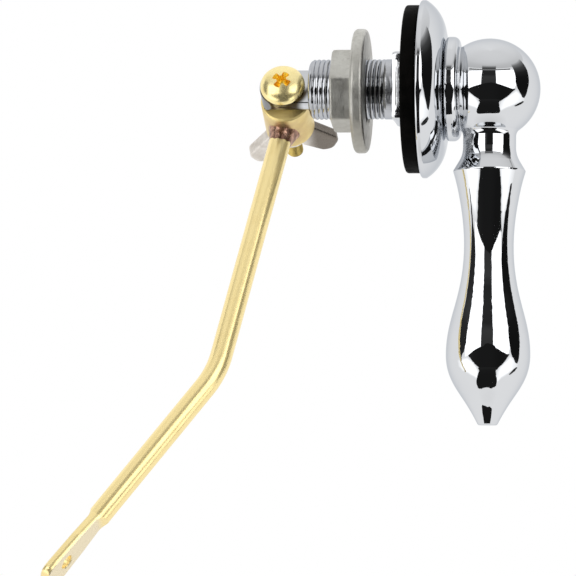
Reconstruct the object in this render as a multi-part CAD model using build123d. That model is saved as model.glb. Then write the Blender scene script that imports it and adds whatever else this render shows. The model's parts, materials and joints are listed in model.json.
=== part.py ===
from build123d import *
import os
from math import cos, radians, sin, sqrt, tan

# Cistern flush lever. The spindle lies along X with the grip hanging from its +X end along -Z.
# The origin is on the spindle axis, where the gasket's rear face meets the cistern wall.
# All lengths are millimetres and all angles are degrees.

# Gasket
gasket_diameter = 38.2
gasket_thickness = 3.5
gasket_edge_radius = 0.6
gasket_hole_clearance = 0.2

# Spindle, cast in one with the handle, with a flatted tongue at its end
spindle_diameter = 9.3
spindle_clearance = 0.08
spindle_end_float = 0.55
tongue_tilt = 25.0
tongue_thickness = 5.7
tongue_flat_depth = 0.35
tongue_run_in = 1.0
tongue_end_margin = 0.65
tongue_edge_radius = 0.25
tongue_relief = 0.06

# Escutcheon, square shoulder and threaded sleeve, one casting
escutcheon_diameter = 40.5
escutcheon_depth = 5.5
escutcheon_rim = 1.1
escutcheon_rim_radius = 0.5
escutcheon_face_diameter = 24.4
escutcheon_bulge = 1.22
escutcheon_wall = 2.0
escutcheon_core_land = 1.0
shoulder_side = 15.5
shoulder_length = 2.6
shoulder_corner_radius = 0.8
shoulder_chamfer = 0.4
sleeve_length = 22.0
sleeve_wall = 2.12
sleeve_lead_length = 1.5
sleeve_lead_depth = 1.5

# Flange nut, loose on the sleeve
wall_space = 8.8
nut_flange_diameter = 28.3
nut_flange_thickness = 2.95
nut_flange_radius = 0.9
nut_wall = 1.05
nut_hex_length = 5.05
nut_corner_chamfer = 0.4
nut_chamfer_angle = 30.0
nut_thread_clearance = 0.5
nut_rest_gap = 0.1
nut_turn = 41.6

# Bead ring and ball
ring_gap = 0.2
ring_lip = 0.42
ring_width = 3.1
ring_rear_radius = 0.8
ring_front_radius = 1.5
ring_valley_radius = 0.3
ball_diameter = 22.9
ball_reach = 10.0

# Grip, a baluster: each drop is the height from the station above it
neck_diameter = 12.0
neck_drop = 15.0
neck_radius = 6.0
neck_root_radius = 2.0
neck_root_sink = 0.03
ridge_diameter = 16.5
ridge_drop = 3.75
ridge_radius = 0.5
ridge_slope = 0.33
hollow_diameter = 13.5
hollow_drop = 6.05
waist_diameter = 11.22
waist_drop = 11.0
swell_diameter = 14.56
swell_drop = 12.3
belly_diameter = 19.08
belly_drop = 12.3
taper_diameter = 10.2
taper_drop = 10.8
tip_diameter = 4.3
tip_drop = 5.1
tip_radius = 0.6
tip_slope = 0.5

# Clamp screw
screw_diameter = 4.0
screw_clearance = 0.15
screw_head_diameter = 10.2
screw_head_height = 3.1
screw_head_edge = 0.3
screw_tail = 7.8
screw_end_chamfer = 0.5
recess_span = 4.0
recess_width = 0.9
recess_depth = 1.9
recess_turn = 58.0

# Arm boss
boss_diameter = 11.3
boss_length = 11.7
boss_edge_chamfer = 0.35
socket_web = 0.75

# Arm rod, bent once, with its end pressed flat
rod_diameter = 5.0
rod_socket_clearance = 0.04
rod_lean_angle = 9.9
rod_upper_run = 69.0
rod_bend_angle = 23.4
rod_bend_radius = 36.0
rod_lower_run = 55.5
flat_lead = 13.0
flat_tail = 6.5
flat_thickness = 2.2
flat_root_inset = 0.12
flat_root_slope = 0.1
flat_mid_width = 6.6
flat_end_width = 7.8
flat_edge_radius = 0.7
press_radius = 3.2
press_overlap = 1.5
chain_hole_diameter = 3.2
braze_height = 1.3
braze_width = 1.2
braze_toe = 0.2

# Wing nut
wing_hub_diameter = 9.2
wing_hub_tip_diameter = 7.4
wing_hub_height = 3.2
wing_span = 21.6
wing_height = 10.6
wing_shoulder_height = 7.2
wing_tip_inset = 1.8
wing_tip_width = 2.5
wing_corner_radius = 2.0
wing_root_level = 0.6
wing_root_height = 6.8
wing_thickness = 3.0
wing_edge_radius = 0.7
wing_turn = 12.5

# Places that follow from the sizes above
escutcheon_face = gasket_thickness + escutcheon_depth
ball_centre = escutcheon_face + ball_reach
sleeve_bore_radius = spindle_diameter / 2 + spindle_clearance
thread_radius = sleeve_bore_radius + sleeve_wall
nut_bore_radius = thread_radius + nut_thread_clearance
nut_across_flats = 2 * (nut_bore_radius + nut_wall)
nut_sag = nut_thread_clearance - nut_rest_gap
screw_place = -(sleeve_length + spindle_end_float + boss_diameter / 2)
boss_front = tongue_flat_depth - spindle_diameter / 2
boss_back = boss_front - boss_length
head_seat = boss_front + tongue_thickness
rod_level = boss_front - boss_length / 2
screw_hole_radius = screw_diameter / 2 + screw_clearance
screw_length = tongue_thickness + boss_length + wing_hub_height + screw_tail
socket_floor = screw_hole_radius + socket_web

# Frame of the clamped arm: z along the screw towards its head, x along the spindle
arm_frame = Plane(
    origin=(screw_place, 0, 0),
    x_dir=(1, 0, 0),
    z_dir=(0, -cos(radians(tongue_tilt)), sin(radians(tongue_tilt))),
)


def rod_direction(angle):
    """Direction in the arm frame that leans back from straight down by the angle."""
    return Vector(-sin(radians(angle)), -cos(radians(angle)), 0)


def round_bar(start, direction, length, radius):
    """Cylinder that starts at a point and runs along a direction."""
    return Plane(origin=start, z_dir=direction) * extrude(Circle(radius), length)


def turned(outline, axis):
    """Body of revolution from a closed outline in the XZ plane."""
    return revolve(Plane.XZ * make_face(outline), axis)


def rounded(face, corners):
    """Flat face with the corner nearest to each given point rounded to its radius."""
    for corner, radius in corners:
        face = fillet(face.vertices().sort_by_distance(corner)[0], radius)
    return face


def gasket():
    disc = Plane.YZ * extrude(Circle(gasket_diameter / 2), gasket_thickness)
    disc = fillet(disc.edges().filter_by(GeomType.CIRCLE), gasket_edge_radius)
    hole_side = shoulder_side + 2 * gasket_hole_clearance
    return disc - Plane.YZ * extrude(Rectangle(hole_side, hole_side), gasket_thickness)


def escutcheon_sleeve():
    rim_radius = escutcheon_diameter / 2
    face_radius = escutcheon_face_diameter / 2
    lead_radius = thread_radius - sleeve_lead_depth
    lead_start = sleeve_lead_length - sleeve_length
    dome_start = (gasket_thickness + escutcheon_rim, rim_radius)
    dome_end = (escutcheon_face, face_radius)
    chord = Vector(*dome_end) - Vector(*dome_start)
    outward = Vector(-chord.Y, chord.X).normalized()
    dome_crown = Vector(*dome_start) + chord / 2 + outward * escutcheon_bulge

    outline = Polyline(
        dome_end,
        (escutcheon_face, sleeve_bore_radius),
        (-sleeve_length, sleeve_bore_radius),
        (-sleeve_length, lead_radius),
    )
    outline += EllipticalCenterArc(
        (lead_start, lead_radius),
        sleeve_lead_length,
        sleeve_lead_depth,
        start_angle=90,
        arc_size=90,
    )
    outline += Polyline(
        (lead_start, thread_radius),
        (gasket_thickness, thread_radius),
        (gasket_thickness, rim_radius),
        dome_start,
    )
    outline += ThreePointArc(dome_start, (dome_crown.X, dome_crown.Y), dome_end)
    casting = turned(outline, Axis.X)

    # The die-cast escutcheon is cored from behind, clear of the square shoulder
    core_inner = shoulder_side * sqrt(2) / 2 + escutcheon_core_land
    core_outer = rim_radius - escutcheon_wall - escutcheon_rim_radius
    core = Polyline(
        (gasket_thickness, core_inner),
        (escutcheon_face - escutcheon_wall, core_inner),
        (gasket_thickness + escutcheon_rim + escutcheon_wall / 2, core_outer),
        (gasket_thickness, core_outer),
        close=True,
    )
    casting -= turned(core, Axis.X)

    block_length = shoulder_length + gasket_thickness
    block = extrude(RectangleRounded(shoulder_side, shoulder_side, shoulder_corner_radius), block_length)
    block = chamfer(block.faces().sort_by(Axis.Z)[0].edges(), shoulder_chamfer)
    block -= extrude(Circle(sleeve_bore_radius), block_length)
    casting += Plane(origin=(-shoulder_length, 0, 0), x_dir=(0, 1, 0), z_dir=(1, 0, 0)) * block

    rim_edges = casting.edges().filter_by(GeomType.CIRCLE).group_by(SortBy.RADIUS)[-1]
    return fillet(rim_edges, escutcheon_rim_radius)


def flange_nut():
    # Built along +Z from the flange's clamping face, then laid along -X
    flange = extrude(Circle(nut_flange_diameter / 2), nut_flange_thickness)
    flange = fillet(flange.edges(), nut_flange_radius)
    height = nut_flange_thickness + nut_hex_length
    hexagon = extrude(RegularPolygon(nut_across_flats / 2, 6, major_radius=False), height)
    corner_radius = nut_across_flats / sqrt(3)
    cap_radius = corner_radius - nut_corner_chamfer / tan(radians(nut_chamfer_angle))
    cap = Pos(0, 0, height - nut_corner_chamfer / 2) * Cone(corner_radius, cap_radius, nut_corner_chamfer)
    cap += extrude(Circle(corner_radius), height - nut_corner_chamfer)
    nut = flange + (hexagon & cap)
    nut -= extrude(Circle(nut_bore_radius), height)
    seat = Plane(origin=(-wall_space, 0, -nut_sag), x_dir=(0, 0, 1), z_dir=(-1, 0, 0))
    return seat * Rot(0, 0, nut_turn) * nut


def grip():
    """Baluster grip, turned about the vertical through the ball's centre."""
    neck = (neck_diameter / 2, -neck_drop)
    ridge = (ridge_diameter / 2, neck[1] - ridge_drop)
    hollow = (hollow_diameter / 2, ridge[1] - hollow_drop)
    waist = (waist_diameter / 2, hollow[1] - waist_drop)
    swell = (swell_diameter / 2, waist[1] - swell_drop)
    belly = (belly_diameter / 2, swell[1] - belly_drop)
    taper = (taper_diameter / 2, belly[1] - taper_drop)
    tip = (tip_diameter / 2, taper[1] - tip_drop)
    down = (0, -1)

    # A soft root, sunk a little into the ball, where the neck grows out of it
    reach = ball_diameter / 2 - neck_root_sink + neck_root_radius
    root_centre = Vector(neck[0] + neck_root_radius, 0)
    root_centre.Y = -sqrt(reach**2 - root_centre.X**2)
    root_top = root_centre - root_centre.normalized() * neck_root_radius
    root_end = root_centre - Vector(neck_root_radius, 0)
    root_middle = root_centre + ((root_top + root_end) / 2 - root_centre).normalized() * neck_root_radius

    outline = Polyline((0, tip[1]), (0, 0), root_top)
    outline += ThreePointArc(root_top, root_middle, root_end)
    outline += Polyline(root_end, neck, ridge)
    outline += Spline(ridge, hollow, waist, tangents=[(-ridge_slope, -1), down])
    outline += Spline(waist, swell, belly, tangents=[down, down])
    outline += Spline(belly, taper, tip, tangents=[down, (-tip_slope, -1)])
    outline += Line(tip, (0, tip[1]))
    corners = ((neck, neck_radius), (ridge, ridge_radius), (tip, tip_radius))
    face = rounded(make_face(outline), corners)
    return Pos(ball_centre, 0, 0) * revolve(Plane.XZ * face, Axis.Z)


def ball_and_ring():
    """Ball at the corner of the lever, with the bead ring that faces the escutcheon."""
    ball_radius = ball_diameter / 2
    ball_end = (ball_centre + ball_radius, 0)
    rear = escutcheon_face + ring_gap
    rear_corner = (rear, ball_radius + ring_lip)
    front_corner = (rear + ring_width, ball_radius + ring_lip)
    valley = (front_corner[0], sqrt(ball_radius**2 - (ball_centre - front_corner[0]) ** 2))
    outline = Polyline(ball_end, (rear, 0), rear_corner, front_corner, valley)
    outline += ThreePointArc(valley, (ball_centre, ball_radius), ball_end)
    corners = (
        (rear_corner, ring_rear_radius),
        (front_corner, ring_front_radius),
        (valley, ring_valley_radius),
    )
    return revolve(Plane.XZ * rounded(make_face(outline), corners), Axis.X)


def lever_handle():
    spindle_radius = spindle_diameter / 2
    tongue_start = tongue_run_in - sleeve_length
    tongue_end_radius = spindle_radius + tongue_end_margin
    tongue_end = screw_place - tongue_end_radius
    spindle = Plane.YZ.offset(tongue_start) * extrude(Circle(spindle_radius), ball_centre - tongue_start)

    # The tongue that carries the arm: two flats with softened edges, a rounded end and the screw's hole
    section_frame = Plane(origin=(tongue_end, 0, 0), x_dir=arm_frame.y_dir, z_dir=(1, 0, 0))
    between_flats = Pos(0, (head_seat + boss_front) / 2) * Rectangle(spindle_diameter, tongue_thickness)
    section = Circle(spindle_radius - tongue_relief) & between_flats
    section = fillet(section.vertices(), tongue_edge_radius)
    tongue = section_frame * extrude(section, tongue_start - tongue_end)
    spare = 2 * spindle_diameter
    beyond = Box(2 * tongue_end_radius, spare, spare, align=(Align.MAX, Align.CENTER, Align.CENTER))
    tongue -= arm_frame * (beyond - Cylinder(tongue_end_radius, spare))
    tongue -= arm_frame * Cylinder(screw_hole_radius, spare)
    return spindle + tongue + ball_and_ring() + grip()


def clamp_screw():
    head_radius = screw_head_diameter / 2
    shank_radius = screw_diameter / 2
    dome_height = screw_head_height - screw_head_edge
    outline = Polyline(
        (0, screw_head_height),
        (0, -screw_length),
        (shank_radius - screw_end_chamfer, -screw_length),
        (shank_radius, -screw_length + screw_end_chamfer),
        (shank_radius, 0),
        (head_radius, 0),
        (head_radius, screw_head_edge),
    )
    outline += EllipticalCenterArc((0, screw_head_edge), head_radius, dome_height, arc_size=90)
    screw = turned(outline, Axis.Z)
    slot = Box(recess_span, recess_width, recess_depth, align=(Align.CENTER, Align.CENTER, Align.MAX))
    for turn in (recess_turn, recess_turn + 90):
        screw -= Pos(0, 0, screw_head_height) * Rot(0, 0, turn) * slot
    return arm_frame * Pos(0, 0, head_seat) * screw


def arm_boss():
    boss = Pos(0, 0, boss_back) * extrude(Circle(boss_diameter / 2), boss_length)
    boss = chamfer(boss.edges(), boss_edge_chamfer)
    boss -= Pos(0, 0, boss_back) * extrude(Circle(screw_hole_radius), boss_length)
    outward = rod_direction(rod_lean_angle)
    floor = Vector(0, 0, rod_level) + outward * socket_floor
    boss -= round_bar(floor, outward, boss_diameter, rod_diameter / 2 + rod_socket_clearance)
    return arm_frame * boss


def braze_fillet():
    outward = rod_direction(rod_lean_angle)
    rod_radius = rod_diameter / 2
    boss_radius = boss_diameter / 2
    foot = sqrt(boss_radius**2 - (rod_radius + braze_width) ** 2)
    height = boss_radius + braze_height - foot
    start = Vector(0, 0, rod_level) + outward * foot
    collar = Cone(
        rod_radius + braze_width,
        rod_radius + braze_toe,
        height,
        align=(Align.CENTER, Align.CENTER, Align.MIN),
    )
    collar = Plane(origin=start, z_dir=outward) * collar
    collar -= round_bar(start, outward, height, rod_radius)
    collar -= Pos(0, 0, boss_back) * extrude(Circle(boss_radius), boss_length)
    return arm_frame * collar


def flat_strip(start, half):
    """Pressed end of the arm, seen along its own x axis, with the chain's hole."""
    end_radius = flat_end_width / 2
    end_centre = flat_lead + flat_tail - end_radius
    root = sqrt((rod_diameter / 2) ** 2 - half**2) - flat_root_inset
    upper_half = Spline(
        (start, root),
        (flat_lead / 2, flat_mid_width / 2),
        (end_centre, end_radius),
        tangents=[(1, flat_root_slope), (1, 0)],
    )
    outline = upper_half + mirror(upper_half, Plane.XZ)
    outline += ThreePointArc(
        (end_centre, end_radius), (end_centre + end_radius, 0), (end_centre, -end_radius)
    )
    outline += Line((start, -root), (start, root))
    strip = Pos(0, 0, -half) * extrude(make_face(outline), flat_thickness)
    long_edges = strip.edges().filter_by(Axis.Z, reverse=True)
    long_edges = long_edges.filter_by(lambda edge: edge.center().X > start + flat_edge_radius)
    strip = fillet(long_edges, flat_edge_radius)
    return strip - Pos(flat_lead, 0, -half) * extrude(Circle(chain_hole_diameter / 2), flat_thickness)


def arm_rod():
    first = rod_direction(rod_lean_angle)
    second = rod_direction(rod_lean_angle + rod_bend_angle)
    centre = Vector(0, 0, rod_level)
    start = centre + first * socket_floor
    corner = centre + first * rod_upper_run
    flat_start = corner + second * (rod_lower_run - flat_lead)
    rod_radius = rod_diameter / 2
    half = flat_thickness / 2

    # The press leaves two curved run-outs where the round rod becomes a flat strip
    press_length = sqrt(press_radius**2 - (press_radius - (rod_radius - half)) ** 2)
    route_end = flat_start + second * (press_length + press_overlap)
    route = FilletPolyline(start, corner, route_end, radius=rod_bend_radius)
    rod = sweep(Plane(origin=start, z_dir=first) * Circle(rod_radius), path=route)

    # Frame of the flat end: x along the arm, z square to the wide faces
    flat_frame = Plane(origin=flat_start, x_dir=second, z_dir=second.cross(Vector(0, 0, 1)))
    roller = Rot(90, 0, 0) * Cylinder(press_radius, 2 * rod_diameter)
    past = Box(
        2 * press_overlap,
        2 * rod_diameter,
        2 * press_radius,
        align=(Align.MIN, Align.CENTER, Align.CENTER),
    )
    for side in (1, -1):
        rod -= flat_frame * Pos(press_length, 0, side * (half + press_radius)) * (roller + past)
    return arm_frame * (rod + flat_frame * flat_strip(press_length / 2, half))


def wing_nut():
    # Built from the face against the boss towards -Z
    hub = Cone(
        wing_hub_tip_diameter / 2,
        wing_hub_diameter / 2,
        wing_hub_height,
        align=(Align.CENTER, Align.CENTER, Align.MAX),
    )
    tip = wing_span / 2 - wing_tip_inset
    root = (wing_hub_tip_diameter - wing_thickness) / 2
    shoulder = root + wing_thickness
    blade = Polygon(
        (root, -wing_root_level),
        (shoulder, -wing_root_level),
        (wing_span / 2, -wing_shoulder_height),
        (tip, -wing_height),
        (tip - wing_tip_width, -wing_height),
        (root, -wing_root_height),
        align=None,
    )
    blade = fillet(blade.vertices().sort_by(Axis.Y)[:3], wing_corner_radius)
    ear = Plane.XZ * extrude(blade, wing_thickness / 2, both=True)
    outer = ear.edges().filter_by(lambda edge: edge.center().X > shoulder)
    ear = fillet(outer.filter_by(Axis.Y, reverse=True), wing_edge_radius)
    nut = hub + ear + Rot(0, 0, 180) * ear
    bore = Cylinder(screw_hole_radius, wing_height, align=(Align.CENTER, Align.CENTER, Align.MAX))
    return arm_frame * Pos(0, 0, boss_back) * Rot(0, 0, wing_turn) * (nut - bore)


os.makedirs("parts", exist_ok=True)
pieces = {
    "escutcheon_sleeve": escutcheon_sleeve(),
    "gasket": gasket(),
    "flange_nut": flange_nut(),
    "lever_handle": lever_handle(),
    "clamp_screw": clamp_screw(),
    "arm_boss": arm_boss(),
    "arm_rod": arm_rod(),
    "braze_fillet": braze_fillet(),
    "wing_nut": wing_nut(),
}
for name, piece in pieces.items():
    export_step(piece, f"parts/{name}.step")
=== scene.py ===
import json
import math

import bmesh
import bpy
from mathutils import Matrix, Vector, noise


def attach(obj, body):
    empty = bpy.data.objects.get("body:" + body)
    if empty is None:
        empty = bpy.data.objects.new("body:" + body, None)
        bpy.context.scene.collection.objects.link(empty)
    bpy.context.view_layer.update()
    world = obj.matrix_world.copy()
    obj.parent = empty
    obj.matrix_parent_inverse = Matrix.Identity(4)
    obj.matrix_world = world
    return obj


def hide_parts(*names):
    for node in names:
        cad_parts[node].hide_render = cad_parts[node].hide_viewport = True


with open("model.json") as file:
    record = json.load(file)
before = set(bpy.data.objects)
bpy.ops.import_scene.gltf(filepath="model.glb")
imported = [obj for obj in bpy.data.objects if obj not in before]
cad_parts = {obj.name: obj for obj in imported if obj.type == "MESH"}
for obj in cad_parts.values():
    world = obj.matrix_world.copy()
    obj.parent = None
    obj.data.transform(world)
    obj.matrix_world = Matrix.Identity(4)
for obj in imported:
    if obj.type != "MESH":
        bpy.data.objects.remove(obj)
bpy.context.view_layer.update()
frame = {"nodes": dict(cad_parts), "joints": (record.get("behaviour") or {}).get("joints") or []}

# Escutcheon and sleeve
# One zinc die casting, chrome plated: a domed escutcheon, a square shoulder that keys into the cistern
# wall and a sleeve with a fine thread. The flange nut clamps it to the wall.
mm = 0.001
tau = 2.0 * math.pi
weld_distance = 1e-7
lengthwise = Vector((1.0, 0.0, 0.0))
vertical = Vector((0.0, 0.0, 1.0))

escutcheon_front = 9.0
escutcheon_back = 3.5
escutcheon_rim_front = 4.6
escutcheon_radius = 20.25
escutcheon_face_radius = 12.2
escutcheon_rim_round = 0.5
escutcheon_bulge = 1.22
escutcheon_face_rows = 6
escutcheon_dome_rows = 48
core_outer_radius = 17.75
core_inner_radius = 11.96
core_outer_end = 5.6
core_inner_end = 7.0
shoulder_half = 7.75
shoulder_corner = 0.8
shoulder_corner_steps = 8
shoulder_corner_step = 0.8
shoulder_middle = 0.4
shoulder_end = -2.6
shoulder_bevel_depth = 0.3
shoulder_bevel_curve = 1.3
shoulder_bevel_rows = 8
shoulder_side_bevel = 1.0
shoulder_corner_bevel = 0.7
shoulder_bevel_fade = (3.0, 7.0)
sleeve_bore_radius = 4.73
sleeve_bore_chamfer = 0.3
sleeve_radius = 6.85
sleeve_end = -22.0
sleeve_lead = 1.5
sleeve_root = 0.35
sleeve_root_rows = 6
sleeve_sides = 160
thread_start = -4.2
thread_end = -21.5
thread_runout = 0.5
thread_pitch = 1.06
thread_rows = 16
thread_crown = 0.16
thread_groove = 0.14
thread_groove_start = 0.37
edge_guard = 0.1
round_rows = 8

chrome_bright = (0.69, 0.702, 0.72)
chrome_hazed = (0.665, 0.677, 0.695)
chrome_edge = (0.70, 0.72, 0.75)
chrome_on_thread = (0.52, 0.53, 0.555)
chrome_roughness = (0.02, 0.05)
shoulder_dulling = 0.05
thread_dulling = 0.01
cast_dulling = 0.24
thread_mask = (shoulder_end - 0.3, shoulder_end)
gasket_mask = (0.0, 1.0)
shoulder_cast_from = (-1.9, -1.4)
neck_cast_from = (-4.6, -4.0)
neck_cast_to = (-3.1, -2.8)
cast_height_squared = (16.0, 40.0)


def arc_points(centre, radius, start, end, steps):
    """Points on a circular arc, both ends included, as (along, out) pairs. Angles are in degrees."""
    points = []
    for step in range(steps + 1):
        angle = math.radians(start + (end - start) * step / steps)
        points.append((centre[0] + radius * math.cos(angle), centre[1] + radius * math.sin(angle)))
    return points


def eased(value, low, high):
    """Zero below low, one above high and a smooth step between them."""
    share = min(1.0, max(0.0, (value - low) / (high - low)))
    return share * share * (3.0 - 2.0 * share)


def off_square(angle):
    """Angle from the middle of the square's nearest side."""
    return abs((angle + tau / 8.0) % (tau / 4.0) - tau / 8.0)


def square_reach(angle, half, corner):
    """Distance from the axis to a square's outline with rounded corners."""
    turn = off_square(angle)
    inner = half - corner
    if half * math.tan(turn) <= inner:
        return half / math.cos(turn)
    along = inner * (math.cos(turn) + math.sin(turn))
    return along + math.sqrt(along ** 2 - 2.0 * inner ** 2 + corner ** 2)


def thread_drop(along, angle):
    """Depth below the crest line of a thread with rounded crests and a narrow groove between them."""
    off_crest = abs((along / thread_pitch + angle / tau) % 1.0 - 0.5)
    crown = thread_crown * (1.0 - math.cos(tau * off_crest)) / 2.0
    return crown + thread_groove * eased(off_crest, thread_groove_start, 0.5)


def turned_rings(stations, angles, across=math.cos, upward=math.sin, lift=0.0):
    """Rings about the X axis. A station's place along it and its reach are one value or one an angle."""
    rings = []
    for along, reach in stations:
        along = along if isinstance(along, list) else [along] * len(angles)
        reach = reach if isinstance(reach, list) else [reach] * len(angles)
        rings.append([(x, r * across(a), r * upward(a) + lift) for x, r, a in zip(along, reach, angles)])
    return rings


def loft(name, rings, ends="loop", axes=Matrix.Identity(4)):
    """A skin over rings of points in mm, joined end to start, or closed by a fan at each end."""
    count = len(rings[0])
    points = [axes @ (Vector(point) * mm) for ring in rings for point in ring]
    faces = []
    spans = len(rings) if ends == "loop" else len(rings) - 1
    for row in range(spans):
        this = row * count
        following = (row + 1) % len(rings) * count
        for column in range(count):
            neighbour = (column + 1) % count
            faces.append((this + column, this + neighbour, following + neighbour, following + column))
    if ends == "fans":
        for row in (0, len(rings) - 1):
            rim = [row * count + column for column in range(count)]
            hub = len(points)
            points.append(sum((points[corner] for corner in rim), Vector()) / count)
            faces += [(corner, neighbour, hub) for corner, neighbour in zip(rim, rim[1:] + rim[:1])]
    mesh = bpy.data.meshes.new(name)
    mesh.from_pydata(points, [], faces)
    work = bmesh.new()
    work.from_mesh(mesh)
    bmesh.ops.remove_doubles(work, verts=work.verts, dist=weld_distance)
    bmesh.ops.recalc_face_normals(work, faces=work.faces)
    if work.calc_volume(signed=True) < 0.0:
        bmesh.ops.reverse_faces(work, faces=work.faces)
    work.to_mesh(mesh)
    work.free()
    piece = bpy.data.objects.new(name, mesh)
    bpy.context.scene.collection.objects.link(piece)
    return piece


def clad(piece, material):
    """Give a piece its one finish."""
    piece.data.materials.clear()
    piece.data.materials.append(material)


def dress(piece, body, node, material, crease):
    """Smooth shading with sharp creases, the finish, and the piece's place on its body."""
    piece.data.shade_smooth()
    piece.data.set_sharp_from_angle(angle=math.radians(crease))
    weighted = piece.modifiers.new("weighted", "WEIGHTED_NORMAL")
    weighted.keep_sharp = True
    clad(piece, material)
    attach(piece, body)
    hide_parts(node)


class Wire:
    """A shader socket that takes arithmetic; node() adds any other node to the same tree."""

    def __init__(self, tree, socket=None):
        self.tree = tree
        self.socket = socket

    def node(self, kind, settings=None, inputs=None, output=0):
        made = self.tree.nodes.new(kind)
        for name, value in (settings or {}).items():
            setattr(made, name, value)
        for name, value in (inputs or {}).items():
            if isinstance(value, Wire):
                self.tree.links.new(value.socket, made.inputs[name])
            else:
                made.inputs[name].default_value = value
        return None if output is None else Wire(self.tree, made.outputs[output])

    def maths(self, operation, first, second):
        return self.node("ShaderNodeMath", {"operation": operation}, {0: first, 1: second})

    def __add__(self, other):
        return self.maths("ADD", self, other)

    def __radd__(self, other):
        return self.maths("ADD", other, self)

    def __sub__(self, other):
        return self.maths("SUBTRACT", self, other)

    def __rsub__(self, other):
        return self.maths("SUBTRACT", other, self)

    def __mul__(self, other):
        return self.maths("MULTIPLY", self, other)

    def __rmul__(self, other):
        return self.maths("MULTIPLY", other, self)


def finish(name, metallic, specular=0.5):
    """A new material with its constant values set, and a wire to build its varying ones from."""
    material = bpy.data.materials.new(name)
    material.use_nodes = True
    shader = material.node_tree.nodes["Principled BSDF"]
    shader.inputs["Metallic"].default_value = metallic
    shader.inputs["Specular IOR Level"].default_value = specular
    return material, shader, Wire(material.node_tree)


def feed(shader, socket, wire):
    """Link a wire into one of the shader's sockets."""
    wire.tree.links.new(wire.socket, shader.inputs[socket])


def own_place(wire):
    """The piece's own coordinates, in metres."""
    return wire.node("ShaderNodeTexCoord", output="Object")


def vector_maths(wire, operation, first, second=(0.0, 0.0, 0.0), output="Vector"):
    """Arithmetic on vectors. The output is Value where the operation gives a number."""
    return wire.node("ShaderNodeVectorMath", {"operation": operation}, {0: first, 1: second}, output)


def measured(wire, direction, origin=(0.0, 0.0, 0.0)):
    """Distance in mm along a direction from an origin, in the piece's own coordinates."""
    offset = vector_maths(wire, "SUBTRACT", own_place(wire), origin)
    return vector_maths(wire, "DOT_PRODUCT", offset, direction / mm, "Value")


def grain(wire, scale, detail=3.0, roughness=0.55, vector=None):
    """Noise in the piece's own coordinates, with features about one over scale metres across."""
    return wire.node("ShaderNodeTexNoise", {},
                     {"Vector": vector or own_place(wire), "Scale": scale,
                      "Detail": detail, "Roughness": roughness})


def between(wire, value, low, high, low_out=0.0, high_out=1.0):
    """The value eased from one range to another and held at its ends."""
    return wire.node("ShaderNodeMapRange", {"interpolation_type": "SMOOTHSTEP"},
                     {"Value": value, "From Min": low, "From Max": high,
                      "To Min": low_out, "To Max": high_out})


def blend(wire, factor, first, second):
    """One colour turning into another. The node repeats its sockets' names, so they go by number."""
    first = first if isinstance(first, Wire) else (*first, 1.0)
    second = second if isinstance(second, Wire) else (*second, 1.0)
    return wire.node("ShaderNodeMix", {"data_type": "RGBA"}, {0: factor, 6: first, 7: second}, 2)


def bump(wire, height, strength, depth):
    """A bumped normal from a height. The depth is in mm."""
    return wire.node("ShaderNodeBump", {}, {"Strength": strength, "Distance": depth * mm, "Height": height})


def chrome_finish(name):
    """Chrome plating with a faint haze, its colour and roughness. It reflects less at a grazing edge."""
    material, shader, wire = finish(name, 1.0)
    shader.inputs["Specular Tint"].default_value = (*chrome_edge, 1.0)
    haze = grain(wire, 90.0, 4.0)
    colour = blend(wire, between(wire, haze, 0.4, 0.8), chrome_bright, chrome_hazed)
    return material, shader, wire, colour, between(wire, haze, 0.35, 0.75, *chrome_roughness)


sleeve_angles = {round(tau * step / sleeve_sides, 6) for step in range(sleeve_sides)}
for corner in range(4):
    for step in range(-shoulder_corner_steps, shoulder_corner_steps + 1):
        off_corner = math.radians(shoulder_corner_step * step)
        sleeve_angles.add(round(tau * (corner + 0.5) / 4.0 + off_corner, 6))
sleeve_angles = sorted(sleeve_angles)

# The dome's arc runs into the rim's round without a crease
dome_start = Vector((escutcheon_front, escutcheon_face_radius))
dome_chord = Vector((escutcheon_rim_front, escutcheon_radius)) - dome_start
dome_radius = dome_chord.length_squared / (8.0 * escutcheon_bulge) + escutcheon_bulge / 2.0
dome_outward = Vector((dome_chord.y, -dome_chord.x)).normalized()
dome_centre = dome_start + dome_chord / 2.0 - dome_outward * (dome_radius - escutcheon_bulge)
rim_reach = escutcheon_radius - escutcheon_rim_round
rim_offset = rim_reach - dome_centre.y
rim_along = dome_centre.x + math.sqrt((dome_radius - escutcheon_rim_round) ** 2 - rim_offset ** 2)
rim_back = escutcheon_back + escutcheon_rim_round
dome_from = math.degrees(math.atan2(dome_start.y - dome_centre.y, dome_start.x - dome_centre.x))
dome_to = math.degrees(math.atan2(rim_offset, rim_along - dome_centre.x))
face_step = (escutcheon_face_radius - sleeve_bore_radius) / escutcheon_face_rows
stations = [(escutcheon_front, sleeve_bore_radius + face_step * row) for row in range(escutcheon_face_rows)]
stations += arc_points(dome_centre, dome_radius, dome_from, dome_to, escutcheon_dome_rows)
stations += arc_points((rim_along, rim_reach), escutcheon_rim_round, dome_to, 90, round_rows)
stations += arc_points((rim_back, rim_reach), escutcheon_rim_round, 90, 180, round_rows)
stations += [(escutcheon_back, core_outer_radius), (core_outer_end, core_outer_radius),
             (core_inner_end, core_inner_radius), (escutcheon_back, core_inner_radius)]

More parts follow.
